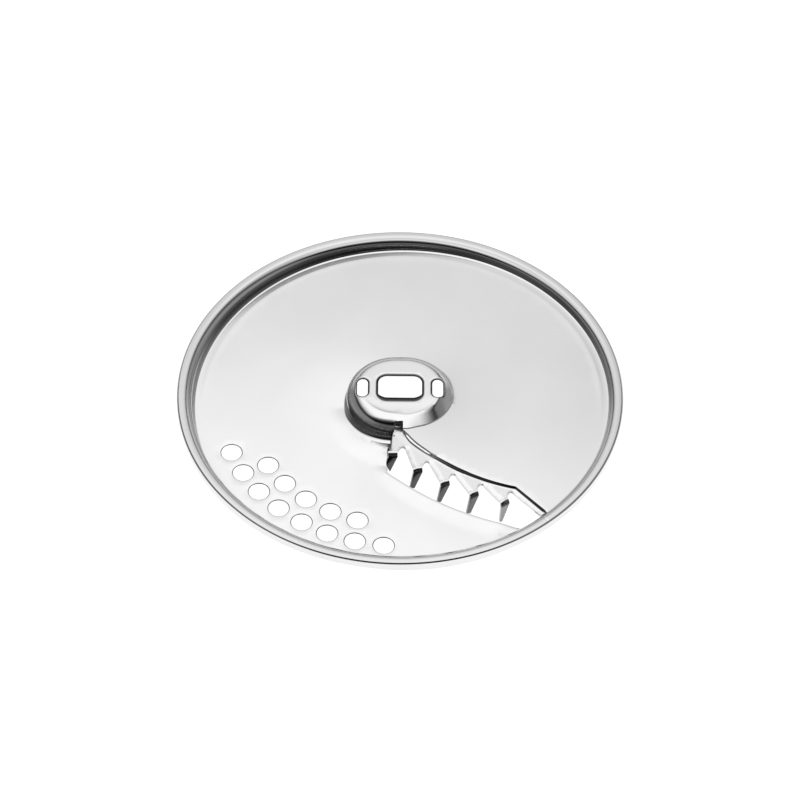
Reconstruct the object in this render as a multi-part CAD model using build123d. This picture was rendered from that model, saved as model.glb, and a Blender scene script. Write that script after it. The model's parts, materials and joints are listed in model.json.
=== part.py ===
from build123d import *
import math
import os

# Chip-cutting disc of a food processor, pressed from one sheet of stainless steel.
# Millimetres. The disc turns about Z, +Z is the side that the food lies on, and the
# lowest edge of the sheet is at z = 0. Azimuths are degrees, counter-clockwise from +X.

# Sheet and overall size
disc_diameter = 145.0
sheet = 0.9

# Rim: a wall that rises from the floor and turns outwards into a lip
rim_height = 11.2
lip_width = 4.9
lip_drop = 2.0
lip_round = 1.7

# Floor: a helical ramp that falls by one pitch in a counter-clockwise turn
floor_pitch = 9.2
rim_seam_azimuth = 310.8
hub_seam_azimuth = 263.5

# Hub: an oval dome with the drive slot, two side holes and a relief notch
hub_height = 12.6
hub_radius = 16.0
hub_stretch = 2.8
hub_round = 4.9
slot_length = 15.0
slot_width = 11.4
slot_corner = 3.4
side_hole_offset = 12.2
side_hole_width = 4.0
side_hole_length = 8.0
notch_width = 2.9
notch_depth = 2.2

# Blade strip: flat, its teeth along an arc from beside the hub to the rim
strip_height = 9.3
strip_tuck = 0.3
strip_side_azimuth = -96.8
blade_radius = 88.1
blade_start_radius = 25.1
blade_start_azimuth = -98.3
blade_end_azimuth = -45.84

# Step from the floor down to the strip, widest a little way out from the hub
step_start_azimuth = -85.5
step_end_length = 13.4
step_end_azimuth = -46.8
step_edge_radius = 61.0
step_run = 0.9
step_bulge_radius = 25.9
step_bulge_azimuth = -74.5
step_lap = 0.4

# Knives: tabs folded down from the strip, one for each tooth of the cutting edge
knife_count = 5
knife_spacing = 10.35
knife_width = 2.95
knife_angle = 48.0
knife_tip_width = 1.3
knife_depth = 8.6
knife_sweep = 0.7
fold_round = 1.3
gullet_start = 1.65
gullet_depth = 5.5
gullet_round = 0.85
edge_bevel = 1.4
edge_land = 0.2

# Opening that the chips drop through, in front of the knives
knife_clearance = 1.9
opening_side = 3.7
opening_gap = 0.5

# Two rows of round holes in the low part of the floor
hole_diameter = 6.6
hole_pitch = 9.3
row_inset = 9.6
row_spacing = 8.5
outer_row_count = 8
outer_row_azimuth = 201.0
inner_row_count = 5
inner_row_azimuth = 211.5

# Worked out from the sizes above
full_turn = 360.0
disc_radius = disc_diameter / 2
wall_radius = disc_radius - lip_width
wall_outer = wall_radius + sheet
wall_middle = wall_radius + sheet / 2
hub_inner = hub_radius - sheet
strip_inner_radius = hub_radius - strip_tuck
outer_row_radius = wall_radius - row_inset
inner_row_radius = outer_row_radius - row_spacing
strip_bottom = strip_height - sheet
mid_level = strip_height / 2
knife_step = math.degrees(knife_spacing / blade_radius)
seat = sheet / 9
reach = 2 * disc_radius
deep = 2 * rim_height


def polar(radius, azimuth):
    """A plan point from a radius and an azimuth."""
    angle = math.radians(azimuth)
    return Vector(radius * math.cos(angle), radius * math.sin(angle))


def ramp_level(azimuth):
    """Height of the floor's underside at an azimuth that may run past a full turn."""
    return floor_pitch * (rim_seam_azimuth - azimuth) / full_turn


def arc_centre(start, end, radius):
    """Centre of an arc between two plan points, on the left of the way from start to end."""
    chord = end - start
    rise = math.sqrt(radius**2 - (chord.length / 2) ** 2)
    return start + chord / 2 + chord.normalized().rotate(Axis.Z, 90) * rise


blade_start = polar(blade_start_radius, blade_start_azimuth)
blade_centre = arc_centre(blade_start, polar(wall_radius, blade_end_azimuth), blade_radius)
step_start = polar(strip_inner_radius, step_start_azimuth)
step_corner = polar(wall_radius - step_end_length, step_end_azimuth)


def prism(sketch, bottom, top):
    """A plan shape stood up between two levels."""
    return extrude(Pos(0, 0, bottom) * sketch, amount=top - bottom, dir=(0, 0, 1))


def blade_disc(radius):
    """A plan disc about the centre of the blade's arc."""
    return Pos(*blade_centre) * Circle(radius)


def opening(inset):
    """Plan shape of the opening in front of the knives, drawn in by an inset."""
    front = Rectangle(reach, reach, align=(Align.MIN, Align.MAX))
    front = Pos(inset - opening_side, -hub_radius / 2) * front
    return blade_disc(blade_radius + knife_clearance - inset) & front


def ramp_face(inner, outer, low_azimuth, turn):
    """The floor's underside between two radii, from its low end clockwise through a turn."""
    height = floor_pitch * turn / full_turn
    edges = [Helix(floor_pitch, height, radius, lefthand=True) for radius in (inner, outer)]
    face = Face.make_surface_from_curves(*edges)
    return Pos(0, 0, ramp_level(low_azimuth)) * Rot(0, 0, low_azimuth) * face


def cut_under_ramp(wall, inner, outer, seam_azimuth):
    """A wall without what lies under one turn of the floor, taken off in two half turns."""
    half_turn = full_turn / 2
    for low_azimuth in (seam_azimuth, seam_azimuth - half_turn):
        face = ramp_face(inner, outer, low_azimuth, half_turn)
        wall -= extrude(face, amount=deep, dir=(0, 0, -1))
    return wall


def make_rim():
    """Wall and lip: one bent section turned about the axis and cut off under the floor."""
    hem = rim_height - lip_drop
    hem_inner = disc_radius - sheet
    crest_under = rim_height - sheet
    outside = FilletPolyline(
        (wall_radius, -sheet),
        (wall_radius, rim_height),
        (disc_radius, rim_height),
        (disc_radius, hem),
        radius=lip_round,
    )
    inside = FilletPolyline(
        (wall_outer, -sheet),
        (wall_outer, crest_under),
        (hem_inner, crest_under),
        (hem_inner, hem),
        radius=lip_round - sheet,
    )
    ends = [Line(outside @ end, inside @ end) for end in (0, 1)]
    section = make_face([outside, inside, *ends])
    ring = revolve(Plane.XZ * section, Axis.Z)
    return cut_under_ramp(ring, wall_radius - sheet, wall_outer + sheet, rim_seam_azimuth)


def hub_dome(radius, height, rounding):
    """An oval post with a rounded top."""
    post = prism(SlotCenterToCenter(hub_stretch, 2 * radius), -sheet, height)
    return fillet(post.faces().sort_by(Axis.Z)[-1].edges(), rounding)


def make_hub():
    """The dome as a shell, cut off under the floor, with its holes and its notch."""
    shell = hub_dome(hub_radius, hub_height, hub_round)
    shell -= hub_dome(hub_inner, hub_height - sheet, hub_round - sheet)
    shell = cut_under_ramp(shell, hub_inner / 2, 2 * hub_radius, hub_seam_azimuth)
    slot = RectangleRounded(slot_length, slot_width, slot_corner)
    side_hole = Rot(0, 0, 90) * SlotOverall(side_hole_length, side_hole_width)
    openings = slot + Pos(side_hole_offset, 0) * side_hole + Pos(-side_hole_offset, 0) * side_hole
    shell -= prism(openings, 0, reach)
    notch = Rectangle(hub_radius, notch_width, align=(Align.MIN, Align.MIN))
    notch = Rot(0, 0, hub_seam_azimuth) * Pos(hub_radius - notch_depth, 0) * notch
    return shell - prism(notch, strip_bottom - sheet, reach)


def step_edge():
    """Plan line of the floor's edge above the step, from the hub to the step's corner."""
    return RadiusArc(step_start, step_corner, -step_edge_radius)


def step_end_edge():
    """Plan line of the floor's edge above the step's rim end."""
    return Line(step_corner, polar(wall_middle, step_end_azimuth))


def step_foot():
    """Plan lines of the strip's back edge below the step, from the hub to the rim."""
    across = polar(1, step_end_azimuth - 90)
    away = (step_corner - blade_centre).normalized()
    corner = step_corner + (across + away) * (step_run / (1 + across.dot(away)))
    bulge = polar(step_bulge_radius, step_bulge_azimuth)
    tangents = [polar(1, step_start_azimuth), step_edge() % 1]
    back = Spline(step_start, bulge, corner, tangents=tangents)
    return [back, Line(corner, polar(wall_middle, step_end_azimuth) + across * step_run)]


def hole_row(radius, count, first_azimuth):
    """Round holes at one pitch along a circle."""
    step = math.degrees(hole_pitch / radius)
    holes = Sketch()
    for index in range(count):
        holes += Pos(*polar(radius, first_azimuth + index * step)) * Circle(hole_diameter / 2)
    return holes


def make_floor():
    """The ramp with its holes, open in front of the knives and cut off above the strip."""
    turn = full_turn + rim_seam_azimuth - hub_seam_azimuth
    face = ramp_face(hub_inner, wall_middle, rim_seam_azimuth, turn)
    floor = extrude(face, amount=sheet, dir=(0, 0, 1))
    floor -= prism(SlotCenterToCenter(hub_stretch, hub_radius + hub_inner), -deep, deep)
    floor -= prism(opening(0), -deep, mid_level)
    past_rim = polar(reach, step_end_azimuth)
    past_side = polar(reach, 2 * strip_side_azimuth - step_start_azimuth)
    around = Polyline(step_corner, past_rim, past_side, (0, 0), step_start)
    floor -= prism(make_face([step_edge(), around]), mid_level, deep)
    holes = hole_row(outer_row_radius, outer_row_count, outer_row_azimuth)
    holes += hole_row(inner_row_radius, inner_row_count, inner_row_azimuth)
    return floor - prism(holes, -deep, mid_level)


def tooth_frame(index):
    """Frame at a tooth's tip: X points out from the centre of the blade's arc, Y along the arc."""
    first = blade_start - blade_centre
    angle = math.degrees(math.atan2(first.Y, first.X)) + index * knife_step
    return Pos(*blade_centre) * Rot(0, 0, angle) * Pos(blade_radius, 0)


def cutting_edge(index):
    """Ends of one cutting edge in its tooth's frame; the last edge runs on past the rim."""
    root = Vector(-gullet_depth, gullet_start)
    tip = polar(blade_radius, knife_step) - Vector(blade_radius, 0)
    if index == knife_count - 1:
        tip += tip - root
    return root, tip


def gullet(index):
    """Plan shape between two teeth: the fold line, the rounded root and the cutting edge."""
    root, tip = cutting_edge(index)
    fold_end = polar(knife_width, 90 + knife_angle)
    outwards = Vector(2 * gullet_depth, 0)
    corners = [(0, 0), fold_end, root, tip, tip + outwards, outwards]
    shape = make_face(Polyline(*corners, close=True))
    return tooth_frame(index) * fillet(shape.vertices().sort_by_distance(root)[0], gullet_round)


def edge_wedge(index):
    """What is ground off the top of one cutting edge."""
    root, tip = cutting_edge(index)
    edge = tip - root
    turn = math.degrees(math.atan2(edge.Y, edge.X))
    low = strip_bottom + edge_land
    corners = [(-seat, low), (edge_bevel, strip_height), (edge_bevel, deep), (-seat, deep)]
    section = Plane.YZ * make_face(Polyline(*corners, close=True))
    wedge = Pos(gullet_round, 0) * extrude(section, amount=edge.length)
    return tooth_frame(index) * Pos(*root) * Rot(0, 0, turn) * wedge


def knife(index):
    """One tab, bent down along its fold line and narrowing to its tip."""
    tip_level = strip_height - knife_depth
    bend_level = strip_height - fold_round
    inner_round = fold_round - sheet
    outer = FilletPolyline(
        (-fold_round, strip_height),
        (fold_round, strip_height),
        (fold_round, tip_level),
        radius=fold_round,
    )
    inner = FilletPolyline(
        (-fold_round, strip_bottom),
        (inner_round, strip_bottom),
        (inner_round, tip_level),
        radius=inner_round,
    )
    ends = [Line(outer @ end, inner @ end) for end in (0, 1)]
    bent = extrude(Plane.XZ * make_face([outer, inner, *ends]), amount=2 * knife_width, both=True)
    outline = Polyline(
        (0, deep),
        (knife_width, deep),
        (knife_width, bend_level),
        (knife_tip_width - knife_sweep, tip_level),
        (-knife_sweep, tip_level),
        (0, bend_level),
        close=True,
    )
    blank = extrude(Plane.YZ * make_face(outline), amount=reach, both=True)
    return tooth_frame(index) * Rot(0, 0, knife_angle) * (bent & blank)


def make_strip():
    """The flat strip with its gullets and ground edges, and the knives folded from it."""
    foot = step_foot()
    past_rim = polar(reach, step_end_azimuth) + polar(step_run, step_end_azimuth - 90)
    past_side = polar(reach, strip_side_azimuth)
    side_start = polar(strip_inner_radius, strip_side_azimuth)
    around = Polyline(foot[-1] @ 1, past_rim, past_side, side_start, step_start)
    plan = make_face([*foot, around]) & Circle(wall_middle) & blade_disc(blade_radius + gullet_depth)
    for index in range(knife_count):
        plan -= gullet(index)
    strip = prism(plan.faces().sort_by(SortBy.AREA)[-1], strip_bottom, strip_height)
    for index in range(knife_count):
        strip += knife(index)
    for index in range(knife_count):
        strip -= edge_wedge(index)
    clear_level = ramp_level(hub_seam_azimuth) + sheet + opening_gap
    return strip - prism(Circle(reach) - opening(opening_gap), -deep, clear_level)


def step_slab(upper, lower):
    """Sloping sheet between a plan line on the floor and one on the strip, let into both."""
    floor_line = []
    strip_line = []
    for share in (0, 0.2, 0.4, 0.6, 0.8, 1):
        point = upper @ share
        level = ramp_level(math.degrees(math.atan2(point.Y, point.X))) + sheet - seat
        into_floor = (upper % share).rotate(Axis.Z, 90) * step_lap
        floor_line.append(point + into_floor + Vector(0, 0, level))
        into_strip = (lower % share).rotate(Axis.Z, -90) * step_lap
        strip_line.append((lower @ share) + into_strip + Vector(0, 0, strip_height - seat))
    face = Face.make_surface_from_curves(Spline(*floor_line), Spline(*strip_line))
    return extrude(face, amount=sheet - seat, dir=(0, 0, -1))


def make_step():
    """The step along the strip's back edge and the one at its rim end."""
    back, end = step_foot()
    return step_slab(step_edge(), back) + step_slab(step_end_edge(), end)


cutting_disc = make_floor() + make_rim() + make_hub()
cutting_disc += make_strip()
cutting_disc += make_step()
cutting_disc.label = "cutting_disc"

os.makedirs("parts", exist_ok=True)
export_step(cutting_disc, "parts/cutting_disc.step")
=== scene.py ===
import json
import math

import bpy
import numpy as np
from mathutils import Matrix, Vector
from mathutils.geometry import delaunay_2d_cdt

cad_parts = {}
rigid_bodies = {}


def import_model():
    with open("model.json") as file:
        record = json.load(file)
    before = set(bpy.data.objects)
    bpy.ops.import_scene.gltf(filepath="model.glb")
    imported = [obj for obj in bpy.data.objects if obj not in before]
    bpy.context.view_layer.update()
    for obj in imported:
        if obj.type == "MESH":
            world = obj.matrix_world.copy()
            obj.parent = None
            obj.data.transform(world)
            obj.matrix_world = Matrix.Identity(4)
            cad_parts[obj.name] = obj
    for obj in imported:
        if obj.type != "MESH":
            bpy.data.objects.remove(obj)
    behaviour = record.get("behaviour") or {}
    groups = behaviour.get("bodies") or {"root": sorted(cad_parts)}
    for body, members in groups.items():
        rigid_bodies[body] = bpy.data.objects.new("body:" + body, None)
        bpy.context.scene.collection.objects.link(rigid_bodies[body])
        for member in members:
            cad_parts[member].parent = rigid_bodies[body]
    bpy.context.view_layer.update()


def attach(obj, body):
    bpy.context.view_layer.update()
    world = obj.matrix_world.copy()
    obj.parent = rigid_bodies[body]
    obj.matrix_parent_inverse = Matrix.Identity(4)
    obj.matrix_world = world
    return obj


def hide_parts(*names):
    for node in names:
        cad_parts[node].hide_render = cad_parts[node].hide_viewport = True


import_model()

# Lengths below are millimetres and azimuths degrees, counter-clockwise from +X.
MM = 0.001
SHEET = 0.9

# Rim: a wall that leans outwards, a broad inner crest and a tight outer lip
WALL_R = 67.6
WALL_DRAFT = 4.0
RIM_FILLET = 1.0
CREST_Z = 7.4
CREST_IN = 70.9
CREST_ROUND = 3.3
LIP_Z = 9.9
LIP_IN = 71.7
LIP_ROUND = 0.8
HEM_Z = 7.9
RIM_SEAM = 310.8
RIM_STATIONS = 440
STRIP_RIM_AZ = (-48.62, -48.4, -48.15)

# Rows of the rim's profile: where its crest starts, and the stretches that get painted shade
CREST_FROM = 11
WALL_ROWS = slice(4, 14)
WALL_TOP_ROWS = slice(10, 14)
LIP_ROWS = slice(14, 28)
LIP_LINE_ROW = 17

# Floor: a helical ramp, drawn up beside the hub's low front and turned up at its low edge
PITCH = 9.2
HUB_SEAM = 263.5
SEAM_RHO = 89.2
LIFT = 3.3
LIFT_AZ = (185, 260)
LIFT_R = (16.5, 25.5)
LOW_EDGE_R = 90.5
LOW_CORNER_X = -3.75
EDGE_RISE = 0.9
EDGE_RUN = 6.2
EDGE_X = (-11, 2)
EDGE_Y = (-28.5, -22)
EDGE_END_R = (57, 63.5)
HOLE_R = 3.3
HOLE_PITCH = 9.3
HOLE_ROWS = ((58.0, 8, 201.0), (49.5, 5, 211.5))
DRAW_RING = ((2.7, 0.0), (2.1, 0.07), (1.5, 0.0))
DRAW_FROM = (-12, 10)
DRAW_TO = (170, 192)

# Hub: an oval dome with a flat plateau, coned at its front right
HUB_HALF = 1.4
HUB_FILLET = 1.0
LOW_FILLET_SIDE = 0.5
LOW_FILLET_FRONT = 0.6
HIGH_FILLET_CUT = 0.5
HUB_SEAM_TURN = 268.5
DOME_OFFSET = 11.1
DOME_Z = 7.7
DOME_ROUND = 4.9
DOME_TURN = 37.3
CONE_FROM = 11.7
CONE_ROUND = 0.6
FOOT_AZ = -86.4
FOOT_OFFSET = 15.8
FOOT_FLARE = 0.7
FOOT_STEP = 0.32
FOOT_PROBE = 17
SHOULDER_PROBE = 13
RIDGE = 0.13
RIDGE_R = 10.5
RIDGE_OUT = 0.7
RIDGE_LINES = (10.5, 10.75, 11.0)
DOME_RINGS = (14.6, 14.1, 13.5, 12.9, 12.3, 11.9, 11.5, 11.15, 10.8, 10.4, 9.6)
NOTCH_RIGHT = 1.05
NOTCH_LEFT = -1.75
NOTCH_BACK = -13.75
SLOT = (7.5, 5.7, 3.4)
SLOT_DISH = 1.25
SIDE_X = 12.2
SIDE_HOLE = (2.0, 4.0, 1.999)
LOOP_STEP = 0.9
CORNER_STEPS = 9

# Rings round a punched edge: how far out, how far down, and how dark the painted shade on the edge is
# there
HOLE_ROLL = ((0.0, 0.2, 0.6), (0.1, 0.1, 0.45), (0.22, 0.03, 0.2), (0.4, 0.0, 0.0))
SIDE_ROLL = ((-0.25, 0.35, 1.0), (-0.04, 0.18, 1.0), (0.2, 0.06, 0.7), (0.5, 0.0, 0.0))
SLOT_ROLL = ((-0.4, 0.42, 1.0), (-0.12, 0.22, 1.0), (0.2, 0.08, 0.8), (0.55, 0.0, 0.0))

# Blade: a strip with teeth along an arc that is off the disc's axis
STRIP_Z = 9.3
STRIP_UNDER = 8.4
STRIP_TILT = 0.04
TILT_FROM = 81.9
TILT_RUN = 7.0
STRIP_ROW = 14
BLADE_R = 88.1
BLADE_C = (57.0103, 39.0526)
TOOTH_START = 226.5
KNIVES = 5
KNIFE_STEP = math.degrees(10.35 / BLADE_R)
KNIFE_W = 2.95
FOLD_ANGLE = 48.0
FOLD_ROUND = 1.3
FOLD_COLS = 8
SIDE_COL = 2
GULLET_U, GULLET_W, GULLET_ROUND = 1.65, 5.5, 0.85
GULLET_UNDER = 0.4
BEVEL = 1.4
BEVEL_DROP = 0.45
LAST_EDGE = 12
SIDE_STATIONS = 16
SIDE_FOOT_X = -4.25
SIDE_FOOT_Y = -24.6
SIDE_FOOT_LEAN = 0.35
SIDE_BLEND = 1.8
SIDE_CURL = 0.75
POCKET_ROLL = 0.9
POCKET_LEFT = 0.25
POCKET_RIGHT = 0.2
POCKET_BACK = 0.22

# Step between floor and strip: a lens by the hub, then a narrow line out to the rim
STEP_END = -46.8
STEP_RUN = 0.9
STEP_FLARE = 0.5
STEP_WIDEN = 0.15
STEP_ROWS = 8
STEP_STATIONS = 65
STEP_UPPER = (
    (1.05, -16.6), (1.75, -17.4), (2.79, -18.67), (3.95, -20.15), (5.28, -21.7),
    (8.02, -24.25), (10.71, -26.5), (13.82, -28.85), (18.0, -31.6), (22.0, -33.87),
    (26.0, -35.8), (30.0, -37.42), (34.0, -38.71), (37.1, -39.5),
)
STEP_LOWER = (
    (0.95, -16.8), (1.43, -17.6), (1.95, -18.75), (3.04, -20.6), (4.65, -22.4),
    (7.5, -24.95), (10.25, -27.1), (13.45, -29.45), (17.6, -32.3), (21.65, -34.6),
    (25.7, -36.55), (29.75, -38.2), (33.8, -39.5), (36.95, -40.35),
)
LENS_STEP = (0.0, 0.06, 0.14, 0.2)
LENS_SHARE = (0.0, 0.14, 0.43, 0.465, 0.5, 0.535, 0.57, 0.86, 1.0)

# Knives: how far the tip runs along the fold, its width, the bulge of the leading side,
# the level of the low end and how dark the face is painted, a painted reflection of the dark studio
KNIFE_SHAPES = (
    {"tip": 0.35, "width": 0.25, "bulge": -0.9, "low": 1.2, "dark": 0.93},
    {"tip": -1.15, "width": 1.6, "bulge": 0.0, "low": 0.75, "dark": 0.93},
    {"tip": -1.15, "width": 1.3, "bulge": 0.0, "low": 0.75, "dark": 0.9},
    {"tip": -1.1, "width": 1.35, "bulge": 0.0, "low": 0.75, "dark": 0.86},
    {"tip": -0.4, "width": 0.9, "bulge": 0.0, "low": 0.75, "dark": 0.68},
)

# Painted shade, from 0 for bare steel to 1 for near black: darker tones painted into the colour, as
# painted reflections of the dark studio mirrored there
BACK_WALL_TINT = 0.75
WALL_TOP_TINT = 0.4
LIP_TINT = 0.15
LIP_LINE_TINT = 0.25
HUB_WALL_TINT = 0.78
SIDE_WALL_TINT = 0.85
STEP_TINT = 0.85
TOOTH_TINT = 0.25
GULLET_TINT = 0.6
LOW_EDGE_TINT = 0.45
FOLD_TINT = 0.95
DARK_TINT = 0.7
UNDER_TINT = 0.6

QUARTERS = (0.25, 0.5, 0.75)
THIRDS = (0.33, 0.66)

# Fineness of the mesh: honeycomb steps, rings round the hub and the low edge,
# and how far points keep from lines
DOME_MESH, FLOOR_MESH, STRIP_MESH = 1.3, 2.1, 0.8
HUB_SCATTER = (17.55, 18.2, 19.0, 19.9, 21.0, 22.3, 23.8, 25.5)
EDGE_SCATTER = (0.8, 1.7, 2.7, 3.8, 5.0, 6.3)
DOME_GAP, STRIP_GAP, EDGE_GAP, NEAR_GAP, FLOOR_GAP = 0.32, 0.38, 0.6, 0.5, 1.1
NEAR_R = 27
BEVEL_END_R = 66.4


def smooth(a, b, x):
    t = min(1.0, max(0.0, (x - a) / (b - a)))
    return t * t * (3 - 2 * t)


def ease(t):
    return 3 * t * t - 2 * t**3


def spread(a, b, count):
    return [a + (b - a) * i / count for i in range(count + 1)]


def azimuth(x, y):
    return math.degrees(math.atan2(y, x))


def polar(r, az):
    return r * math.cos(math.radians(az)), r * math.sin(math.radians(az))


def on_circle(centre, r, a):
    return centre[0] + r * math.cos(math.radians(a)), centre[1] + r * math.sin(math.radians(a))


def between(p, q, share):
    return p[0] + (q[0] - p[0]) * share, p[1] + (q[1] - p[1]) * share


def unit(p, q):
    d = math.hypot(q[0] - p[0], q[1] - p[1])
    return (q[0] - p[0]) / d, (q[1] - p[1]) / d


def oval(o, a):
    """A point on the hub's oval, at an offset and a turn."""
    ca, sa = math.cos(math.radians(a)), math.sin(math.radians(a))
    return o * ca + math.copysign(HUB_HALF, ca), o * sa


def blade_rho(x, y):
    """Distance from the centre of the blade's arc."""
    return math.hypot(x - BLADE_C[0], y - BLADE_C[1])


def is_high(x, y):
    """Whether a point is on the floor's high end, above the low end of the next turn."""
    az = azimuth(x, y) % 360
    return az > RIM_SEAM or (az > HUB_SEAM and blade_rho(x, y) < SEAM_RHO)


def floor_level(az):
    return SHEET + PITCH * (RIM_SEAM - az) / 360


def edge_rise(x, y):
    """The low floor turns up a little towards the opening."""
    reach = abs(blade_rho(x, y) - LOW_EDGE_R) / EDGE_RUN
    if y > EDGE_Y[1] or reach >= 1:
        return 0.0
    along = smooth(*EDGE_X, x) * (1 - smooth(*EDGE_END_R, math.hypot(x, y)))
    return EDGE_RISE * along * (1 - smooth(*EDGE_Y, y)) * (1 - reach) ** 2


def low_floor_z(x, y):
    """Top of the floor's low end, drawn up beside the hub."""
    az = azimuth(x, y) % 360
    lift = LIFT * min(1.0, max(0.0, (az - LIFT_AZ[0]) / (LIFT_AZ[1] - LIFT_AZ[0])))
    return floor_level(az) + lift * (1 - smooth(*LIFT_R, math.hypot(x, y))) + edge_rise(x, y)


def floor_z(x, y):
    """Top of the floor."""
    if is_high(x, y):
        return floor_level(azimuth(x, y) % 360 - 360)
    return low_floor_z(x, y)


class Sheet:
    """The top side of the sheet as one shared mesh, closed with an underside at the end."""

    def __init__(self):
        self.points = []
        self.under = []
        self.index = {}
        self.faces = []

    def vertex(self, x, y, z, under=None):
        key = (round(x * 1000), round(y * 1000), round(z * 1000))
        if key not in self.index:
            self.index[key] = len(self.points)
            self.points.append((x, y, z))
            self.under.append(under)
        elif under is not None:
            self.under[self.index[key]] = under
        return self.index[key]

    def face(self, *corners):
        ring = []
        for v in corners:
            if v not in ring:
                ring.append(v)
        if len(ring) > 2:
            self.faces.append(ring)

    def grid(self, rows, flip=False):
        for a, b in zip(rows, rows[1:]):
            for j in range(len(a) - 1):
                quad = (a[j], a[j + 1], b[j + 1], b[j])
                self.face(*(reversed(quad) if flip else quad))


sheet = Sheet()
# Painted shade for each vertex, from 0 to 1, mixed into the steel's colour
painted_shade = {}


def plan_xy(item):
    """The plan position of a vertex number or of a point."""
    return sheet.points[item][:2] if isinstance(item, int) else item[:2]


def inside(poly, pts):
    """Which points lie in a closed polygon."""
    poly = np.asarray(poly, float)
    x0, y0 = poly[:, 0], poly[:, 1]
    x1, y1 = np.roll(x0, -1), np.roll(y0, -1)
    slope = (x1 - x0) / np.where(y1 == y0, 1.0, y1 - y0)
    hit = np.zeros(len(pts), bool)
    chunk = 2000
    for start in range(0, len(pts), chunk):
        x = pts[start : start + chunk, 0, None]
        y = pts[start : start + chunk, 1, None]
        cross = ((y0 > y) != (y1 > y)) & (x < x0 + (y - y0) * slope)
        hit[start : start + chunk] = cross.sum(axis=1) % 2 == 1
    return hit


class Plan:
    """A patch of the sheet laid out in plan and triangulated between its lines."""

    def __init__(self, level, under=None):
        self.xy = []
        self.ids = []
        self.known = {}
        self.edges = []
        self.level = level
        self.under = under

    def add(self, x, y, z=None, vertex=None):
        key = (round(x * 1000), round(y * 1000))
        if key in self.known:
            return self.known[key]
        if vertex is None:
            z = self.level(x, y) if z is None else z
            vertex = sheet.vertex(x, y, z, self.under(x, y) if self.under else None)
        self.known[key] = len(self.xy)
        self.xy.append((x, y))
        self.ids.append(vertex)
        return self.known[key]

    def line(self, items, close=False):
        ids = []
        for item in items:
            if isinstance(item, int):
                ids.append(self.add(*plan_xy(item), vertex=item))
            else:
                ids.append(self.add(*item))
        pairs = list(zip(ids, ids[1:]))
        if close:
            pairs.append((ids[-1], ids[0]))
        self.edges += [p for p in pairs if p[0] != p[1]]
        return [self.xy[i] for i in ids]

    def fill(self, loop, holes, scatter, gap):
        """Adds scattered points clear of the lines, then the triangles inside the loop."""
        pts = np.asarray(scatter, float).reshape(-1, 2)
        keep = inside(loop, pts)
        for hole in holes:
            keep &= ~inside(hole, pts)
        fixed = np.asarray(self.xy, float)
        chosen = []
        for p in pts[keep]:
            near = np.min(np.hypot(fixed[:, 0] - p[0], fixed[:, 1] - p[1]))
            if near > gap(p[0], p[1]):
                chosen.append(p)
        for p in chosen:
            self.add(float(p[0]), float(p[1]))
        flat = [Vector(p) for p in self.xy]
        verts, _, faces, origin = delaunay_2d_cdt(flat, self.edges, [], 0, 1e-7, True)[:4]
        ids = []
        for v, source in zip(verts, origin):
            if source:
                ids.append(self.ids[source[0]])
            else:
                ids.append(sheet.vertex(v.x, v.y, self.level(v.x, v.y)))
        centres = np.array([[sum(verts[i][c] for i in f) / 3 for c in (0, 1)] for f in faces])
        keep = inside(loop, centres)
        for hole in holes:
            keep &= ~inside(hole, centres)
        for f, ok in zip(faces, keep):
            if not ok:
                continue
            a, b, c = (verts[i] for i in f)
            turn = (b - a).cross(c - a)
            if abs(turn) < 1e-9:
                continue
            tri = [ids[i] for i in f]
            sheet.face(*(tri if turn > 0 else tri[::-1]))


def hex_points(step, box):
    """Points in a honeycomb pattern over a box."""
    x0, y0, x1, y1 = box
    pts = []
    row = 0
    y = y0
    while y < y1:
        x = x0 + (step / 2 if row % 2 else 0)
        while x < x1:
            pts.append((x, y))
            x += step
        row += 1
        y += step * math.sqrt(3) / 2
    return pts


# Rim: floor fillet, wall, crest and lip
def rim_profile(z_floor):
    """Radius and level along the rim, from the floor to the hem."""
    z_c = z_floor + RIM_FILLET
    rise = CREST_Z - z_c
    reach = CREST_ROUND + RIM_FILLET
    lean = math.radians(WALL_DRAFT)
    c_r = CREST_IN - (reach + rise * math.sin(lean)) / math.cos(lean)
    top = -WALL_DRAFT
    if (CREST_IN - c_r) * math.sin(lean) + rise * math.cos(lean) < 0:
        c_r = CREST_IN - math.sqrt(reach**2 - rise**2)
        top = math.degrees(math.atan2(rise, CREST_IN - c_r))
    crest = (CREST_IN, CREST_Z)
    pts = [on_circle((c_r, z_c), RIM_FILLET, a) for a in spread(-90, top, 7)]
    low = pts[-1]
    pts += [between(low, on_circle(crest, -CREST_ROUND, top), share) for share in QUARTERS]
    pts += [on_circle(crest, CREST_ROUND, a) for a in spread(180 + top, 90, 9)]
    pts += [on_circle((LIP_IN, LIP_Z), LIP_ROUND, a) for a in spread(90, 0, 9)]
    pts.append((LIP_IN + LIP_ROUND, HEM_Z))
    return pts


def step_share(q):
    """Share of the drop that is done at a share of the step's run, rounded at both ends."""
    return q * q * q * (q * (6 * q - 15) + 10)


step_q = spread(0, 1, STEP_ROWS)
step_width = math.degrees((STEP_RUN + STEP_FLARE) / WALL_R)
step_first = STEP_END + math.degrees(STEP_FLARE / 2 / WALL_R)
rim_step_az = [step_first - step_width * q for q in step_q]
rim_az = list(STRIP_RIM_AZ) + rim_step_az[::-1]
rim_az += spread(rim_step_az[0], RIM_SEAM, RIM_STATIONS)[1:]


def rim_floor(az):
    """Level at the rim's foot: the strip, then the step, then the floor."""
    if az < rim_step_az[-1] + 1e-9:
        return STRIP_Z
    high = floor_level(az)
    if az <= rim_step_az[0]:
        q = (rim_step_az[0] - az) / step_width
        return high + (STRIP_Z - high) * step_share(q)
    return high


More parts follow.
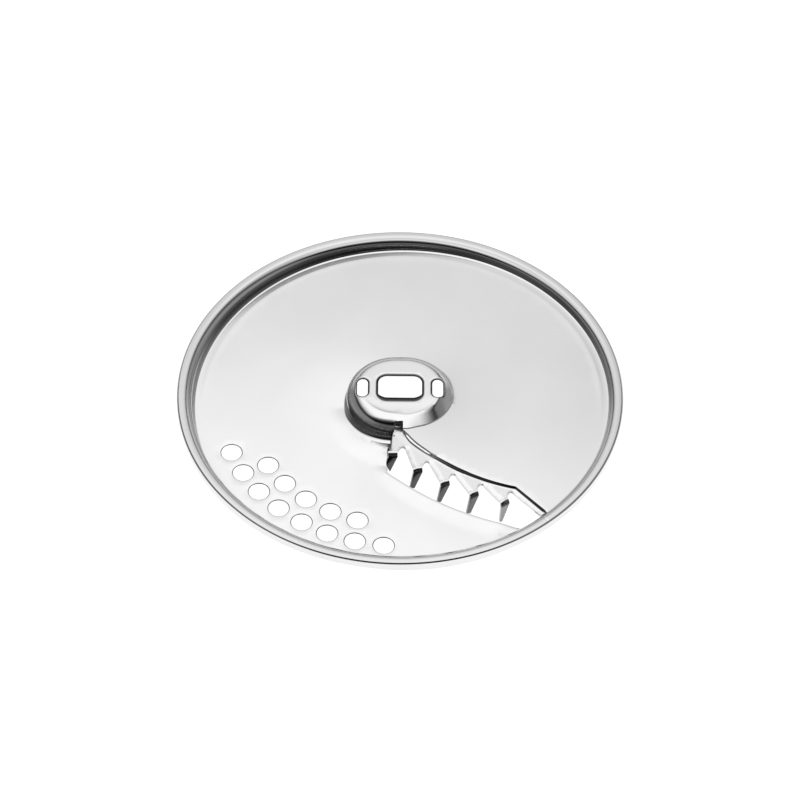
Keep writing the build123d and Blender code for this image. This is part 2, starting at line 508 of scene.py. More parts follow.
rim_cols = []
for az in rim_az:
    col = [sheet.vertex(*polar(r, az), z) for r, z in rim_profile(rim_floor(az))]
    rim_cols.append(col)
    # Painted shade on the rim: the back wall's inside and the front wall's top darker, the crest and lip
    # a little duller, and a dark line along the lip, for the dark studio they mirror
    back = math.sin(math.radians(az))
    for v in col[WALL_ROWS]:
        painted_shade[v] = BACK_WALL_TINT * smooth(0.0, 0.6, back)
    for v in col[WALL_TOP_ROWS]:
        painted_shade[v] = max(painted_shade[v], WALL_TOP_TINT * smooth(0.0, 0.6, -back))
    for v in col[LIP_ROWS]:
        painted_shade[v] = LIP_TINT
    painted_shade[col[LIP_LINE_ROW]] = LIP_TINT + LIP_LINE_TINT * smooth(0.2, 0.8, back)
sheet.grid(rim_cols)
rim_foot = [c[0] for c in rim_cols]
step_feet = [rim_foot[rim_az.index(az)] for az in rim_step_az]

# Over the opening's end only the crest and the lip run on
gap_cols = [rim_cols[-1][CREST_FROM:]]
first_crest = rim_profile(STRIP_Z)[CREST_FROM:]
last_crest = rim_profile(floor_level(RIM_SEAM))[CREST_FROM:]
for share in (0.35, 0.7):
    az = RIM_SEAM + (360 + STRIP_RIM_AZ[0] - RIM_SEAM) * share
    col = []
    for p, q in zip(last_crest, first_crest):
        r, z = between(p, q, share)
        col.append(sheet.vertex(*polar(r, az), z))
    gap_cols.append(col)
gap_cols.append(rim_cols[0][CREST_FROM:])
sheet.grid(gap_cols)


# Hub: foot fillet, wall and the lower part of the dome
def hub_stations():
    """Centre and outward direction of each column round the hub, from the notch to the seam."""
    out = [(NOTCH_RIGHT, 0.0, -1.0), (HUB_HALF, 0.0, -1.0)]
    out += [(HUB_HALF, *polar(1, a)) for a in spread(-90, 90, 60)[1:]]
    out += [(x, 0.0, 1.0) for x in spread(HUB_HALF, -HUB_HALF, 4)[1:]]
    out += [(-HUB_HALF, *polar(1, a)) for a in spread(90, HUB_SEAM_TURN, 62)[1:]]
    return out


def hub_profile(z_floor, fillet):
    """Offset and level up the hub, from its foot to the dome's shoulder."""
    z_c = z_floor + fillet
    drop = DOME_Z - z_c
    reach = DOME_ROUND + fillet
    if drop >= 0:
        c_o, turn = DOME_OFFSET + reach, 0.0
    else:
        c_o = DOME_OFFSET + math.sqrt(reach**2 - drop**2)
        turn = math.degrees(math.atan2(-drop, c_o - DOME_OFFSET))
    top = max(DOME_TURN, turn + 8)
    dome = (DOME_OFFSET, DOME_Z)
    pts = [on_circle((c_o, z_c), fillet, a) for a in spread(270, 180 + turn, 7)]
    low = pts[-1]
    pts += [between(low, on_circle(dome, DOME_ROUND, turn), share) for share in QUARTERS]
    level = math.degrees(math.asin((STRIP_Z - DOME_Z) / DOME_ROUND))
    turns = spread(turn, level, 3) + spread(level, top, 4)[1:] if turn < level else spread(turn, top, 7)
    return pts + [on_circle(dome, DOME_ROUND, a) for a in turns]


def dome_offset(x, y):
    return math.hypot(max(0.0, abs(x) - HUB_HALF), y)


def high_side(x, y):
    """How far the hub's shoulder is flattened here: fully at its front right, above the high floor."""
    if x > HUB_HALF:
        return 1 - smooth(-35, 15, azimuth(x - HUB_HALF, y))
    return smooth(-1.4, 0.6, x) if y < 0 else 0.0


def high_foot(x, y):
    """Offset and level of the hub's foot on the high side."""
    if x <= HUB_HALF:
        return FOOT_OFFSET + FOOT_FLARE, floor_level(FOOT_AZ)
    turn = math.atan2(y, x - HUB_HALF)
    offset = FOOT_OFFSET + FOOT_FLARE * (1 - smooth(-90, -72, math.degrees(turn)))
    foot = (HUB_HALF + offset * math.cos(turn), offset * math.sin(turn))
    return offset, floor_level(azimuth(*foot))


def flat_shoulder(o, foot_o, foot_z):
    """A cone from the plateau's edge down to the foot."""
    top = DOME_Z + DOME_ROUND
    slope = (top - foot_z - FOOT_STEP) / (foot_o - CONE_FROM - CONE_ROUND / 2)
    t = o - CONE_FROM
    if t <= 0:
        return top
    return top - slope * (t * t / (2 * CONE_ROUND) if t < CONE_ROUND else t - CONE_ROUND / 2)


def dome_z(x, y):
    """Top of the hub: a plateau with a faint ridge along its front, and rounded shoulders."""
    o = dome_offset(x, y)
    share = high_side(x, y)
    crease = RIDGE_R + RIDGE_OUT * share
    dish = RIDGE * smooth(3.5, 9.5, -y) * (1 - smooth(crease, crease + 0.6, o))
    if o <= DOME_OFFSET:
        return DOME_Z + DOME_ROUND - dish
    round_z = DOME_Z + math.sqrt(max(0.0, DOME_ROUND**2 - (o - DOME_OFFSET) ** 2))
    if share == 0:
        return round_z
    return round_z + (flat_shoulder(o, *high_foot(x, y)) - dish - round_z) * share


hub_cols = []
for cx, nx, ny in hub_stations():
    foot = (cx + FOOT_PROBE * nx, FOOT_PROBE * ny)
    low_side = cx < 0 and ny < 0
    z_foot = low_floor_z(*foot) if low_side else floor_z(*foot)
    fillet = HUB_FILLET
    if low_side:
        fillet += LOW_FILLET_SIDE * smooth(0.0, 0.45, -ny) + LOW_FILLET_FRONT * smooth(0.5, 1.0, -ny)
    elif cx > 0:
        fillet -= HIGH_FILLET_CUT * smooth(0.0, 0.6, nx - 1.5 * ny)
    profile = hub_profile(z_foot, fillet)
    near = (cx + SHOULDER_PROBE * nx, SHOULDER_PROBE * ny)
    share = high_side(*near) if cx > 0 else 0.0
    if share > 0:
        foot_o, foot_z = high_foot(*near)
        flat = [(foot_o + 0.1, foot_z), (foot_o + 0.04, foot_z + 0.06), (foot_o - 0.02, foot_z + 0.17)]
        for o in spread(foot_o - 0.1, profile[-1][0], len(profile) - 4):
            flat.append((o, flat_shoulder(o, foot_o, foot_z)))
        profile = [between(p, q, share) for p, q in zip(profile, flat)]
    col = [sheet.vertex(cx + o * nx, o * ny, z) for o, z in profile]
    hub_cols.append(col)
    # Painted shade on the hub's low front wall, for the dark studio it mirrors
    if low_side:
        front = HUB_WALL_TINT * smooth(0.1, 0.5, -ny)
        for row, v in enumerate(col):
            painted_shade[v] = front * smooth(1.5, 4, row) * (1 - smooth(14, 18, row))
sheet.grid(hub_cols, flip=True)
hub_foot = [c[0] for c in hub_cols]


def rounded_loop(hx, hy, corner, grow):
    """A rounded rectangle as a closed loop, grown outwards."""
    pts = []
    for k, (sx, sy) in enumerate(((1, 1), (-1, 1), (-1, -1), (1, -1))):
        centre = (sx * (hx - corner), sy * (hy - corner))
        pts += [on_circle(centre, corner + grow, a) for a in spread(90 * k, 90 * k + 90, CORNER_STEPS)]
    out = []
    for p, q in zip(pts, pts[1:] + pts[:1]):
        out.append(p)
        steps = int(math.hypot(q[0] - p[0], q[1] - p[1]) / LOOP_STEP)
        out += [between(p, q, s / (steps + 1)) for s in range(1, steps + 1)]
    return out


def pierced(plan, loop_at, level, rolls):
    """A punched edge: rings that roll over into the cut, with painted shade on them. Returns the cut's
    own loop.
    """
    cut = None
    for grow, drop, shade in rolls:
        ring = [(x, y, level(x, y) - drop) for x, y in loop_at(grow)]
        laid = plan.line(ring, close=True)
        for x, y, z in ring:
            painted_shade[sheet.vertex(x, y, z)] = shade
        cut = cut or laid
    return cut


def slot_loop(grow):
    """The slot's outline; its front edge is dished down further than the others."""
    dished = SLOT_DISH * (1 - smooth(-0.4, 0.2, grow))
    return [(x, y + dished * smooth(1.5, 5.2, -y)) for x, y in rounded_loop(*SLOT, grow)]


def side_loop(side):
    """The outline of one of the hub's side holes, as a function of its growth."""
    return lambda grow: [(x + side * SIDE_X, y) for x, y in rounded_loop(*SIDE_HOLE, grow)]


# Top of the hub, with the notch cut into its front
hub_top = Plan(dome_z)
hub_edge = [c[-1] for c in hub_cols]
notch_corner = (NOTCH_LEFT, NOTCH_BACK)
notch_line = [between(plan_xy(hub_edge[-1]), notch_corner, share) for share in (*THIRDS, 1.0)]
notch_line += [between(notch_corner, plan_xy(hub_edge[0]), share) for share in QUARTERS]
hub_loop = hub_top.line(hub_edge + notch_line, close=True)
hub_holes = [pierced(hub_top, slot_loop, dome_z, SLOT_ROLL)]
for o in RIDGE_LINES:
    hub_top.line([oval(o, a) for a in spread(205, 335, 64)])
for side in (-1, 1):
    hub_holes.append(pierced(hub_top, side_loop(side), dome_z, SIDE_ROLL))
dome_points = [oval(o, a) for o in DOME_RINGS for a in spread(0, 360, 110)[:-1]]
dome_points += hex_points(DOME_MESH, (-9, -9, 9, 9))
slot_edge = inside(slot_loop(SLOT_ROLL[-1][0]), np.asarray(dome_points, float))
dome_points = [p for p, near in zip(dome_points, slot_edge) if not near]
hub_top.fill(hub_loop, hub_holes, dome_points, lambda x, y: DOME_GAP)


# Blade outline
def tooth_point(k, u, w):
    """A point of a tooth, along the blade's arc and in towards its centre."""
    a = math.radians(TOOTH_START + k * KNIFE_STEP)
    ox, oy = math.cos(a), math.sin(a)
    bx, by = BLADE_C[0] + BLADE_R * ox, BLADE_C[1] + BLADE_R * oy
    return bx - w * ox - u * oy, by - w * oy + u * ox


fold_u = KNIFE_W * math.cos(math.radians(FOLD_ANGLE))
fold_w = KNIFE_W * math.sin(math.radians(FOLD_ANGLE))
teeth = []
edges = []
for k in range(KNIVES):
    tip = tooth_point(k, 0, 0)
    heel = tooth_point(k, fold_u, fold_w)
    root = tooth_point(k, GULLET_U, GULLET_W)
    nxt = tooth_point(k + 1, 0, 0)
    teeth.append((tip, heel, root, nxt))
    past = LAST_EDGE if k == KNIVES - 1 else 0
    edges.append((root, unit(root, nxt), math.hypot(nxt[0] - root[0], nxt[1] - root[1]) + past))


def strip_z(x, y):
    """Top of the strip, rising a little to its teeth and ground down along each cutting edge."""
    level = STRIP_Z + STRIP_TILT * min(TILT_RUN, max(0.0, blade_rho(x, y) - TILT_FROM))
    z = level
    for (rx, ry), (dx, dy), length in edges:
        t = (x - rx) * dx + (y - ry) * dy
        s = -(x - rx) * dy + (y - ry) * dx
        if -0.2 < s < BEVEL and 0.5 < t < length + 2.5:
            s += max(0.0, t - length)
            drop = max(0.0, BEVEL_DROP * (1 - s / BEVEL)) * smooth(0.7, 1.9, t)
            z = min(z, level - drop)
    return z


def arc_between(p, q, r, c, count):
    """Points on a circle, the short way from p's side to q's."""
    a0 = math.atan2(p[1] - c[1], p[0] - c[0])
    a1 = math.atan2(q[1] - c[1], q[0] - c[0])
    while a1 - a0 > math.pi:
        a1 -= 2 * math.pi
    while a1 - a0 < -math.pi:
        a1 += 2 * math.pi
    return [(c[0] + r * math.cos(a), c[1] + r * math.sin(a)) for a in spread(a0, a1, count)]


def rounded_corner(p, v, q, r, count):
    """An arc that rounds the corner v between p and q."""
    a, b = unit(v, p), unit(v, q)
    half = math.acos(a[0] * b[0] + a[1] * b[1]) / 2
    cut = r / math.tan(half)
    mid = unit((0, 0), (a[0] + b[0], a[1] + b[1]))
    reach = r / math.sin(half)
    c = (v[0] + mid[0] * reach, v[1] + mid[1] * reach)
    ends = [(v[0] + d[0] * cut, v[1] + d[1] * cut) for d in (a, b)]
    return arc_between(*ends, r, c, count)


teeth_line = []
gullets = []
fold_lines = []
for k, (tip, heel, root, nxt) in enumerate(teeth):
    fold = [between(tip, heel, i / FOLD_COLS) for i in range(FOLD_COLS + 1)]
    fold_lines.append(fold)
    teeth_line += fold[SIDE_COL:] if k == 0 else fold
    run = rounded_corner(heel, root, nxt, GULLET_ROUND, 9)
    gullets += run
    teeth_line += [between(heel, run[0], f) for f in THIRDS]
    teeth_line += run
    end = plan_xy(rim_foot[0]) if k == KNIVES - 1 else nxt
    teeth_line += [between(run[-1], end, f) for f in spread(0, 1, 16)[1:-1]]
teeth_line = [(x, y, strip_z(x, y)) for x, y in teeth_line]


# Step lines, from the hub to the rim
def through(nodes, t):
    """A smooth curve through nodes, one node per unit of t."""
    k = min(int(t), len(nodes) - 2)
    f = t - k
    p1, p2 = nodes[k], nodes[k + 1]
    p0 = nodes[k - 1] if k else [2 * p1[i] - p2[i] for i in (0, 1)]
    p3 = nodes[k + 2] if k + 2 < len(nodes) else [2 * p2[i] - p1[i] for i in (0, 1)]
    out = []
    for i in (0, 1):
        a = 2 * p1[i]
        b = p2[i] - p0[i]
        c = 2 * p0[i] - 5 * p1[i] + 4 * p2[i] - p3[i]
        d = 3 * p1[i] - p0[i] - 3 * p2[i] + p3[i]
        out.append((a + b * f + c * f * f + d * f**3) / 2)
    return tuple(out)


def step_place(j, turn, width):
    """How far across the step a row runs and what share of the drop is done there."""
    q = step_q[j]
    lens = smooth(0.7, 1.8, turn) * (1 - smooth(5.2, 7.0, turn))
    middle = STEP_ROWS // 2
    if j < middle:
        near = LENS_STEP[j] / width
    elif j == middle:
        near = 0.5
    else:
        near = 1 - LENS_STEP[STEP_ROWS - j] / width
    return q + (near - q) * lens, step_share(q) + (LENS_SHARE[j] - step_share(q)) * lens


step_turns = spread(0, len(STEP_UPPER) - 1, STEP_STATIONS)
step_rows = []
for j, q in enumerate(step_q):
    row = []
    drops = []
    for t in step_turns:
        a, b = through(STEP_UPPER, t), through(STEP_LOWER, t)
        n = unit(BLADE_C, ((a[0] + b[0]) / 2, (a[1] + b[1]) / 2))
        widen = STEP_WIDEN * smooth(6, 8, t)
        a = (a[0] - n[0] * widen, a[1] - n[1] * widen)
        b = (b[0] + n[0] * widen, b[1] + n[1] * widen)
        part, drop = step_place(j, t, max(0.5, math.hypot(b[0] - a[0], b[1] - a[1])))
        row.append(between(a, b, part))
        drops.append(drop)
    row[0] = between(plan_xy(hub_foot[0]), STEP_LOWER[0], q)
    drops[0] = step_share(q)
    last = row[-1]
    row += [between(last, plan_xy(step_feet[j]), f) for f in spread(0, 1, 14)[1:-1]]
    drops += [step_share(q)] * (len(row) - len(drops))
    for i, ((x, y), drop) in enumerate(zip(row, drops)):
        high = floor_level(azimuth(x, y))
        row[i] = (x, y, high + (STRIP_Z - high) * drop)
    row[0] = hub_foot[0] if j == 0 else sheet.vertex(*row[0])
    step_rows.append(row + [step_feet[j]])

# Pocket at the strip's inner end: a wall from the dome's cut-back edge down to the strip
hub_end = hub_cols[-1]
pocket_top = hub_end[STRIP_ROW:]
for x, y in notch_line:
    pocket_top.append(sheet.vertex(x, y, dome_z(x, y)))
for v in reversed(hub_cols[0]):
    if v not in pocket_top:
        pocket_top.append(v)
pocket_cols = []
for v in pocket_top:
    x, y, z = sheet.points[v]
    left_in = POCKET_LEFT * smooth(STRIP_Z, STRIP_Z + 1.2, z)
    foot_x = min(max(x, NOTCH_LEFT + left_in), NOTCH_RIGHT - POCKET_RIGHT)
    foot_y = y - POCKET_BACK if abs(y - NOTCH_BACK) < 0.15 else y
    col = [v]
    for t in step_q[1:]:
        across = t + (POCKET_ROLL * math.sin(2 * math.pi * t) / (2 * math.pi))
        col.append(sheet.vertex(*between((x, y), (foot_x, foot_y), across), z + (STRIP_Z - z) * ease(t)))
    pocket_cols.append(col)
pocket_cols.append([row[0] for row in step_rows])
sheet.grid(pocket_cols)
pocket_foot = [c[-1] for c in pocket_cols]

# Side wall beside the hub, from the low floor up to the strip's left edge
side_start = plan_xy(hub_end[0])
side_head = plan_xy(hub_end[STRIP_ROW])
side_cols = [hub_end[: STRIP_ROW + 1]]
for i in range(1, SIDE_STATIONS + 1):
    f = (i / SIDE_STATIONS) ** 1.3
    tx, ty = between(side_head, teeth_line[0], f)
    by = side_start[1] + (SIDE_FOOT_Y - side_start[1]) * f
    near = max(0.0, 1 - (side_start[1] - by) / SIDE_BLEND)
    bx = SIDE_FOOT_X + SIDE_FOOT_LEAN * f + (side_start[0] - SIDE_FOOT_X) * near * near
    z0 = floor_z(bx, by)
    reach = SIDE_CURL * (tx - bx)
    col = []
    for j in range(STRIP_ROW + 1):
        t = j / STRIP_ROW
        x = (1 - t) ** 3 * bx + 3 * (1 - t) ** 2 * t * (bx + reach)
        x = x + 3 * (1 - t) * t**2 * (tx - reach) + t**3 * tx
        y = by + (ty - by) * t
        z = z0 + (STRIP_Z - z0) * ease(t)
        w = SIDE_CURL * math.sin(math.pi * t) ** 0.6
        if j == STRIP_ROW and i == SIDE_STATIONS:
            x, y, z = teeth_line[0]
        col.append(sheet.vertex(x, y, z, (x + w, y, z - SHEET * (1 - w))))
    side_cols.append(col)
sheet.grid(side_cols, flip=True)
# Painted shade: a dark wedge on the side wall beside the hub
for col in side_cols[:-2]:
    for v in col[1:-1]:
        painted_shade[v] = SIDE_WALL_TINT
side_foot_line = [c[0] for c in side_cols]
side_top_line = [c[-1] for c in side_cols]

# Floor and strip
strip_loop = [plan_xy(p) for p in step_rows[-1]]
strip_loop += [plan_xy(v) for v in rim_foot[: rim_az.index(rim_step_az[-1]) + 1][::-1]]
strip_loop += [plan_xy(p) for p in teeth_line[::-1]]
strip_loop += [plan_xy(v) for v in side_top_line[::-1]]
strip_loop += [plan_xy(v) for v in pocket_foot[1:]]


def in_strip(x, y):
    return bool(inside(strip_loop, np.array([[x, y]]))[0])


def ground_z(x, y):
    return strip_z(x, y) if in_strip(x, y) else floor_z(x, y)


def ground_under(x, y):
    """The strip's underside is flat; the floor's follows its top."""
    return (x, y, STRIP_UNDER) if in_strip(x, y) else None


def rim_foot_r(az):
    """Radius of the rim's foot at the column nearest to an azimuth."""
    nearest = min(range(len(rim_az)), key=lambda i: abs(rim_az[i] - az))
    return math.hypot(*plan_xy(rim_foot[nearest]))


def hole_loop(centre):
    """A drain hole's outline, as a function of its growth."""
    return lambda grow: [on_circle(centre, HOLE_R + grow, a) for a in spread(0, 360, 44)[:-1]]


def spacing(x, y):
    """How far scattered points keep from the lines."""
    if in_strip(x, y):
        return STRIP_GAP
    if abs(blade_rho(x, y) - LOW_EDGE_R) < EDGE_RUN + 0.5:
        return EDGE_GAP
    return NEAR_GAP if math.hypot(x, y) < NEAR_R else FLOOR_GAP


seam_radii = np.arange(65.8, 60, -0.01)
r_end = next(float(r) for r in seam_radii if blade_rho(*polar(r, RIM_SEAM)) < LOW_EDGE_R)
foot_r = math.hypot(*plan_xy(rim_foot[-1]))
low_end = [polar(foot_r + (r_end - foot_r) * f, RIM_SEAM) for f in spread(0, 1, 4)[1:]]
corner_y = BLADE_C[1] - math.sqrt(LOW_EDGE_R**2 - (BLADE_C[0] - LOW_CORNER_X) ** 2)
corner = (LOW_CORNER_X, corner_y)
low_arc = arc_between(low_end[-1], corner, LOW_EDGE_R, BLADE_C, 80)[1:]
low_edge = low_end + low_arc + [(-3.9, corner_y + 0.7), (-3.85, corner_y + 1.6)]

ground = Plan(ground_z, ground_under)
outer_items = list(rim_foot)
outer_items += [(x, y, low_floor_z(x, y)) for x, y in low_edge]
outer_items += side_foot_line[::-1]
outer_items += hub_foot[-2::-1]
outer_items += [row[0] for row in step_rows[1:]]
outer_items += pocket_foot[-2::-1]
outer_items += side_top_line[1:-1]
outer_items += teeth_line
loop = ground.line(outer_items, close=True)
for row in step_rows:
    ground.line(row)
for k, ((rx, ry), (dx, dy), length) in enumerate(edges):
    stop = length - LAST_EDGE + 9.0 if k == KNIVES - 1 else length + 0.6
    line = []
    for t in spread(2.0, stop, 14):
        line.append((rx + t * dx - BEVEL * dy, ry + t * dy + BEVEL * dx))
    ground.line([p for p in line if in_strip(*p) and math.hypot(*p) < BEVEL_END_R])
for inset, rise in DRAW_RING:
    ring = []
    for az in spread(DRAW_FROM[0], DRAW_TO[1], 210):
        fade = smooth(*DRAW_FROM, az) * (1 - smooth(*DRAW_TO, az))
        ring.append((*polar(rim_foot_r(az) - inset, az), floor_level(az) + rise * fade))
    ground.line(ring)
floor_holes = []
for radius, count, first in HOLE_ROWS:
    for i in range(count):
        centre = polar(radius, first + i * math.degrees(HOLE_PITCH / radius))
        floor_holes.append(pierced(ground, hole_loop(centre), floor_z, HOLE_ROLL))

scatter = []
for o in HUB_SCATTER:
    scatter += [oval(o, a) for a in spread(0, 360, 120)[:-1]]
for reach in EDGE_SCATTER:
    scatter += arc_between(low_end[-1], corner, LOW_EDGE_R + reach, BLADE_C, 60)
scatter += hex_points(FLOOR_MESH, (-68, -68, 68, 68))
scatter += [p for p in hex_points(STRIP_MESH, (-4, -58, 52, -15)) if in_strip(*p)]
ground.fill(loop, floor_holes, scatter, spacing)

# Painted shade: thin lines along the teeth, dark arcs at the gullet roots, the step's dark line out to
# the rim and a line along the low edge
for p in teeth_line:
    painted_shade[sheet.vertex(*p)] = TOOTH_TINT
for x, y in gullets:
    painted_shade[sheet.vertex(x, y, strip_z(x, y), (x, y, STRIP_UNDER + GULLET_UNDER))] = GULLET_TINT
for row in step_rows[2:-2]:
    for p, turn in zip(row[1:-1], step_turns[1:] + [9] * len(row)):
        painted_shade[sheet.vertex(*p)] = STEP_TINT * smooth(5.5, 7, turn)
for x, y in low_arc:
    painted_shade[sheet.vertex(x, y, low_floor_z(x, y))] = LOW_EDGE_TINT

# Knives, bent down from the strip along their fold lines
bend = STRIP_Z - FOLD_ROUND
inner = FOLD_ROUND - SHEET
# Painted shade darkens down each fold and over each knife face, for the dark studio they mirror
for (tip, heel, _, _), fold, shape in zip(teeth, fold_lines, KNIFE_SHAPES):
    fx, fy = unit(tip, heel)
    nx, ny = fy, -fx
    cols = []
    for i, (x0, y0) in enumerate(fold):
        z0 = strip_z(x0, y0)
        col = [sheet.vertex(x0, y0, z0, (x0, y0, STRIP_UNDER))]
        for t in spread(0, 90, 7)[1:]:
            s, c = math.sin(math.radians(t)), math.cos(math.radians(t))
            out = FOLD_ROUND * s
            z = bend + FOLD_ROUND * c - (STRIP_Z - z0) * c
            under = (x0 + nx * inner * s, y0 + ny * inner * s, bend + inner * c)
            col.append(sheet.vertex(x0 + nx * out, y0 + ny * out, z, under))
            painted_shade[col[-1]] = FOLD_TINT * smooth(25, 60, t)
        for f in spread(0, 1, 10)[1:]:
            lead = shape["tip"] * f + shape["bulge"] * math.sin(math.pi * min(1.0, f * 1.02)) ** 1.3
            trail = KNIFE_W + (shape["tip"] + shape["width"] - KNIFE_W) * f
            a = lead + (trail - lead) * i / FOLD_COLS
            x = tip[0] + fx * a + nx * FOLD_ROUND
            y = tip[1] + fy * a + ny * FOLD_ROUND
            z = bend + (shape["low"] - bend) * f
            col.append(sheet.vertex(x, y, z, (x - nx * SHEET, y - ny * SHEET, z)))
            painted_shade[col[-1]] = shape["dark"]
        cols.append(col)
    sheet.grid(cols)


def close_sheet(source):
    """Gives the surface its underside and its cut edges, as one closed mesh."""
    pts = np.array(source.points)
    normals = np.zeros_like(pts)
    for size in (3, 4):
        ring = np.array([f for f in source.faces if len(f) == size])
        corner = pts[ring]
        flat = np.cross(corner[:, 1] - corner[:, 0], corner[:, 2] - corner[:, 0])
        if size == 4:
            flat += np.cross(corner[:, 2] - corner[:, 0], corner[:, 3] - corner[:, 0])
        flat /= np.maximum(np.linalg.norm(flat, axis=1, keepdims=True), 1e-12)
        for i in range(size):
            p = corner[:, i - 1] - corner[:, i]
            q = corner[:, (i + 1) % size] - corner[:, i]
            lengths = np.linalg.norm(p, axis=1) * np.linalg.norm(q, axis=1)
            cosine = np.clip((p * q).sum(axis=1) / np.maximum(lengths, 1e-12), -1, 1)
            np.add.at(normals, ring[:, i], flat * np.arccos(cosine)[:, None])
    normals /= np.maximum(np.linalg.norm(normals, axis=1, keepdims=True), 1e-12)
    under = pts - SHEET * normals
    for i, u in enumerate(source.under):
        if u is not None:
            under[i] = u
    count = len(pts)
    faces = [tuple(f) for f in source.faces]
    faces += [tuple(v + count for v in reversed(f)) for f in source.faces]
    used = {}
    for f in source.faces:
        for a, b in zip(f, f[1:] + f[:1]):
            used[(a, b)] = True
    faces += [(a, a + count, b + count, b) for a, b in used if (b, a) not in used]
    return np.vstack([pts, under]), faces


# The mesh, with its painted shade and with how far each place was drawn out of the flat
SHARP_ANGLE = 26
DRAWN_FROM = 0.97
DRAWN_SPAN = 0.2
verts, faces = close_sheet(sheet)
mesh = bpy.data.meshes.new("disc_body")
mesh.from_pydata((verts * MM).tolist(), [], faces)
mesh.validate()
mesh.update()
# Painted shade per vertex, stored as an attribute that darkens the steel's colour
painted_shades = np.zeros(len(mesh.vertices), np.float32)
for v, amount in painted_shade.items():
    painted_shades[v] = amount
    # Where the top is painted dark, the underside gets painted shade too
    if amount > DARK_TINT:
        painted_shades[v + len(sheet.points)] = UNDER_TINT
mesh.attributes.new("shade_paint", "FLOAT", "POINT").data.foreach_set("value", painted_shades)
tilt = np.empty(3 * len(mesh.vertices), np.float32)
mesh.vertices.foreach_get("normal", tilt)
drawn = np.clip((DRAWN_FROM - np.abs(tilt[2::3])) / DRAWN_SPAN, 0, 1).astype(np.float32)
mesh.attributes.new("drawn", "FLOAT", "POINT").data.foreach_set("value", drawn)
disc = bpy.data.objects.new("disc_body", mesh)
bpy.context.scene.collection.objects.link(disc)
mesh.shade_smooth()
mesh.set_sharp_from_angle(angle=math.radians(SHARP_ANGLE))


class Nodes:
    """A cleared node tree, with short ways to add and join nodes."""

    def __init__(self, owner):
        owner.use_nodes = True
        self.tree = owner.node_tree
        self.tree.nodes.clear()

    def add(self, kind, **settings):
        new = self.tree.nodes.new("ShaderNode" + kind)
        for key, value in settings.items():
            setattr(new, key, value)
        return new

    def put(self, socket, value):
        """Sets a socket to a constant, or links it to another node's output."""
        if isinstance(value, bpy.types.NodeSocket):
            self.tree.links.new(value, socket)
        else:
            socket.default_value = value

    def math(self, operation, first, second):
        new = self.add("Math", operation=operation)
        self.put(new.inputs[0], first)
        self.put(new.inputs[1], second)
        return new.outputs[0]

    def span(self, value, source, target=(0.0, 1.0), kind="LINEAR"):
        """A value mapped from one range to another."""
        new = self.add("MapRange", interpolation_type=kind)
        self.put(new.inputs["Value"], value)
        for name, limit in zip(("From Min", "From Max", "To Min", "To Max"), (*source, *target)):
            new.inputs[name].default_value = limit
        return new.outputs[0]


# Steel: satin sheet, a little smoother where it was drawn, with fine rolling lines and pores
NOISE_SPAN = (0.3, 0.7)
ROUGHNESS = (0.165, 0.205)
ROLLED_ROUGHNESS = 0.012
DRAWN_POLISH = 0.06
STEEL_DIM = (0.765, 0.765, 0.765, 1)
STEEL_BRIGHT = (0.81, 0.81, 0.81, 1)
PAINTED_SHADE_COLOUR = (0.04, 0.04, 0.04, 1)
BUMP_STRENGTH = 0.05
BUMP_DEPTH = 0.00002
steel = bpy.data.materials.new("rolled_steel")
nodes = Nodes(steel)
object_coords = nodes.add("TexCoord").outputs["Object"]


def grain(stretch, scale, detail):
    """Noise over the object, stretched along its own axes."""
    place = nodes.add("Mapping")
    place.inputs["Scale"].default_value = stretch
    nodes.put(place.inputs["Vector"], object_coords)
    noise = nodes.add("TexNoise")
    noise.inputs["Scale"].default_value = scale
    noise.inputs["Detail"].default_value = detail
    nodes.put(noise.inputs["Vector"], place.outputs[0])
    return noise.outputs["Fac"]


clouds = grain((1, 1, 1), 38.0, 3.0)
rolled = grain((1, 26, 1), 150.0, 2.0)
pores = grain((1, 1, 1), 2600.0, 2.0)
bsdf = nodes.add("BsdfPrincipled")
bsdf.inputs["Metallic"].default_value = 1.0
lines = nodes.span(rolled, NOISE_SPAN, (-ROLLED_ROUGHNESS, ROLLED_ROUGHNESS))
rough = nodes.math("ADD", nodes.span(clouds, NOISE_SPAN, ROUGHNESS), lines)
drawn_share = nodes.add("Attribute", attribute_name="drawn").outputs["Fac"]
rough = nodes.math("SUBTRACT", rough, nodes.math("MULTIPLY", drawn_share, DRAWN_POLISH))
nodes.put(bsdf.inputs["Roughness"], rough)
bump = nodes.add("Bump")
bump.inputs["Strength"].default_value = BUMP_STRENGTH
bump.inputs["Distance"].default_value = BUMP_DEPTH
nodes.put(bump.inputs["Height"], nodes.math("ADD", pores, rolled))
nodes.put(bsdf.inputs["Normal"], bump.outputs[0])
tone = nodes.add("Mix", data_type="RGBA")
tone.inputs["A"].default_value = STEEL_DIM
tone.inputs["B"].default_value = STEEL_BRIGHT
nodes.put(tone.inputs["Factor"], nodes.span(clouds, NOISE_SPAN))
# Painted shade: the colour goes towards near black as far as the painted-shade attribute says, for the
# dark studio mirrored there
shade_mix = nodes.add("Mix", data_type="RGBA")
nodes.put(shade_mix.inputs["A"], tone.outputs["Result"])
shade_mix.inputs["B"].default_value = PAINTED_SHADE_COLOUR
nodes.put(shade_mix.inputs["Factor"], nodes.add("Attribute", attribute_name="shade_paint").outputs["Fac"])
nodes.put(bsdf.inputs["Base Color"], shade_mix.outputs["Result"])
nodes.put(nodes.add("OutputMaterial").inputs[0], bsdf.outputs[0])
mesh.materials.append(steel)

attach(disc, "root")
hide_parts("cutting_disc")

